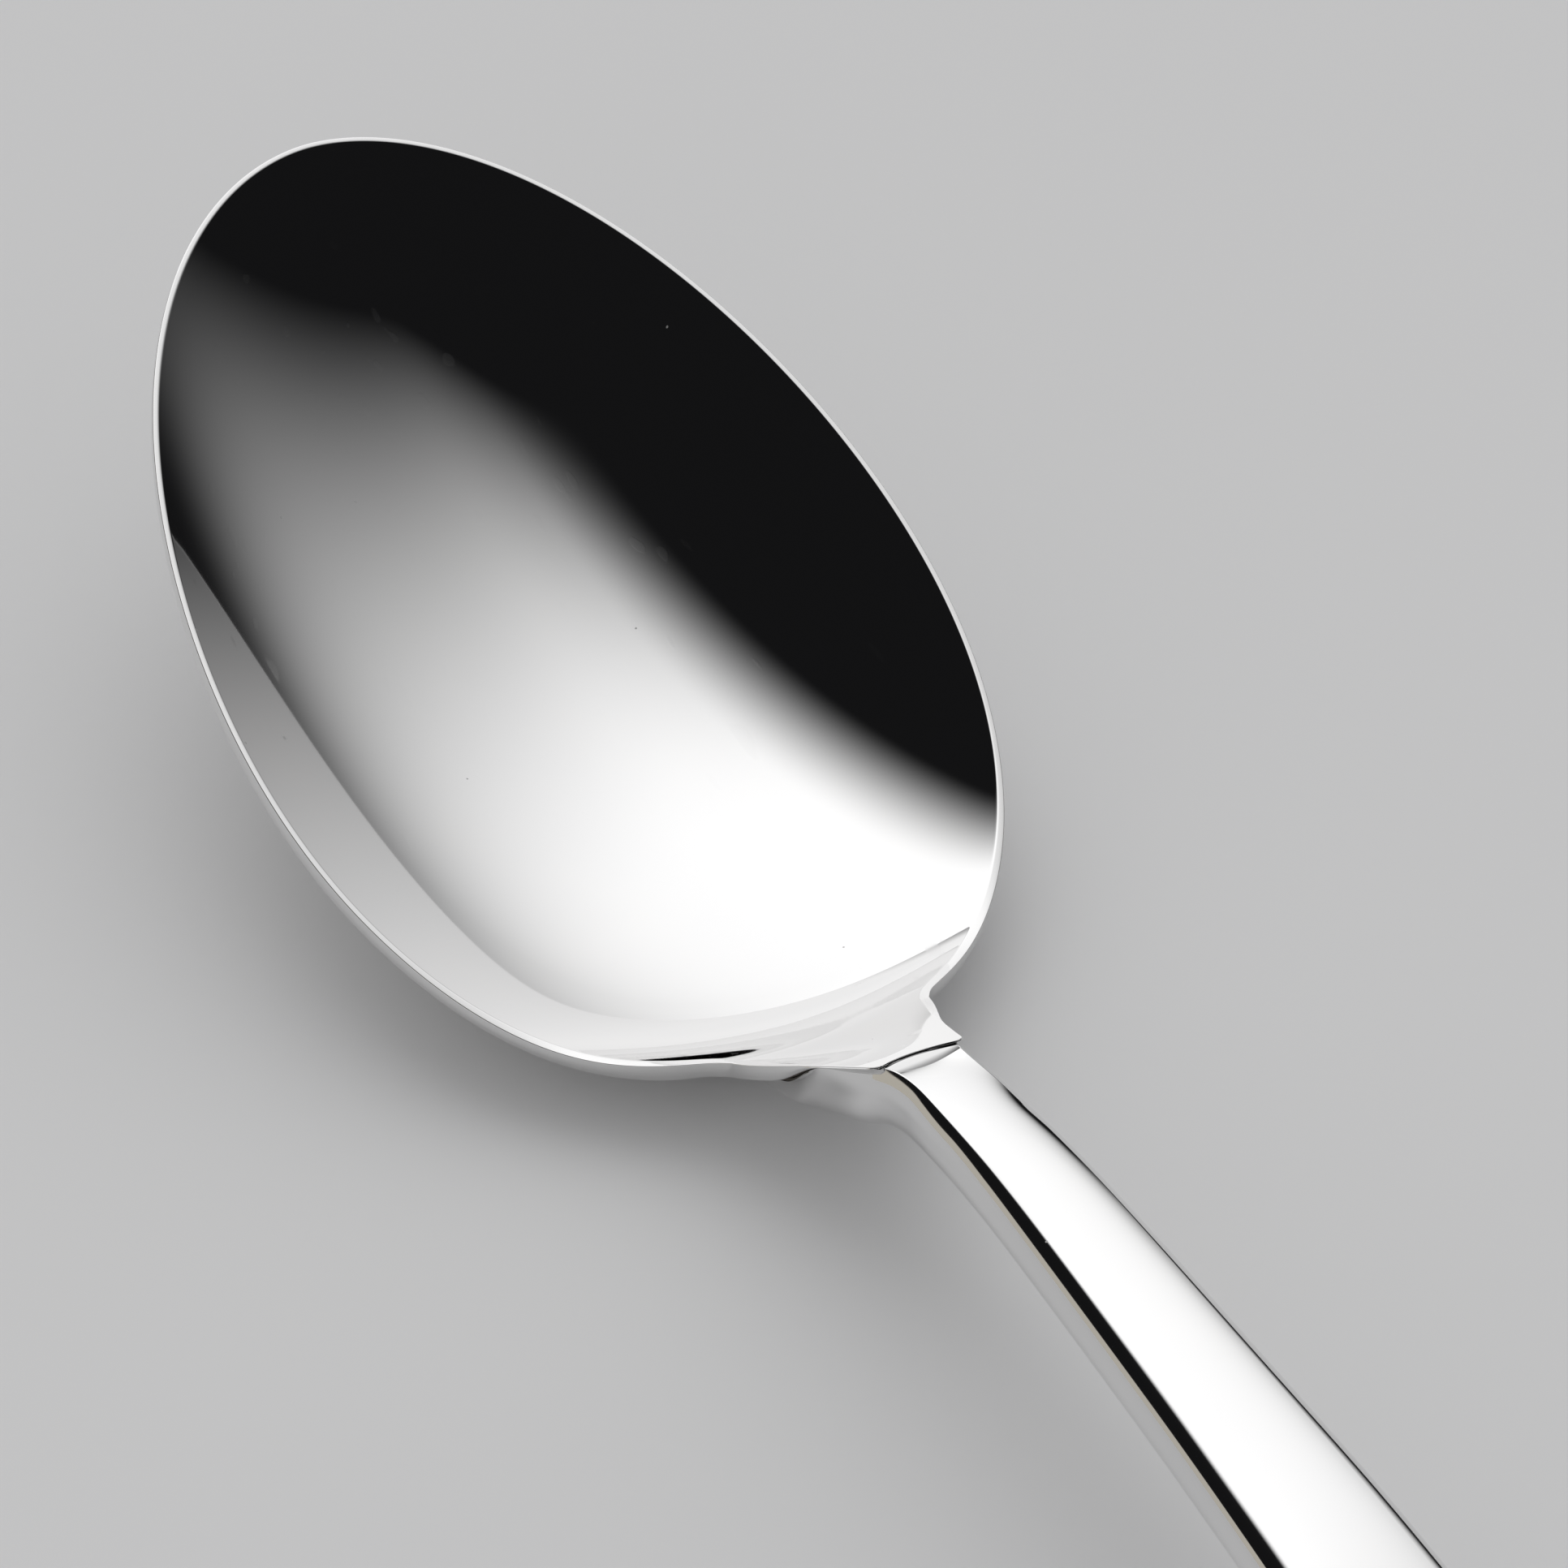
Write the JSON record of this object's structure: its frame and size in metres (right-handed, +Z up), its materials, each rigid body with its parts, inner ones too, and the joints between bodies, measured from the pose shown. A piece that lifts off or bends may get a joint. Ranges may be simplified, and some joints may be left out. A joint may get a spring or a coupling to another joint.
{
  "type": "dessert spoon",
  "caption": "Polished steel dessert spoon: egg-shaped bowl with a heel tongue, brazed into the seat of a solid handle that narrows at the neck and widens to a rounded end.",
  "frame": {"origin": "centre of the small flat under the bowl, the point where the bowl stands on the table", "axes": "+X from the bowl's tip to the handle's end, +Z up from the table, XZ is the plane of symmetry"},
  "size_m": [0.1802, 0.0374, 0.0199],
  "materials": {
    "bowl_steel": "mirror polish",
    "handle_steel": "mirror polish",
    "braze": "dull, filled and polished flush"
  },
  "bodies": {
    "root": {"bowl": "bowl_steel", "handle": "handle_steel", "braze_film": "braze"}
  },
  "joints": []
}
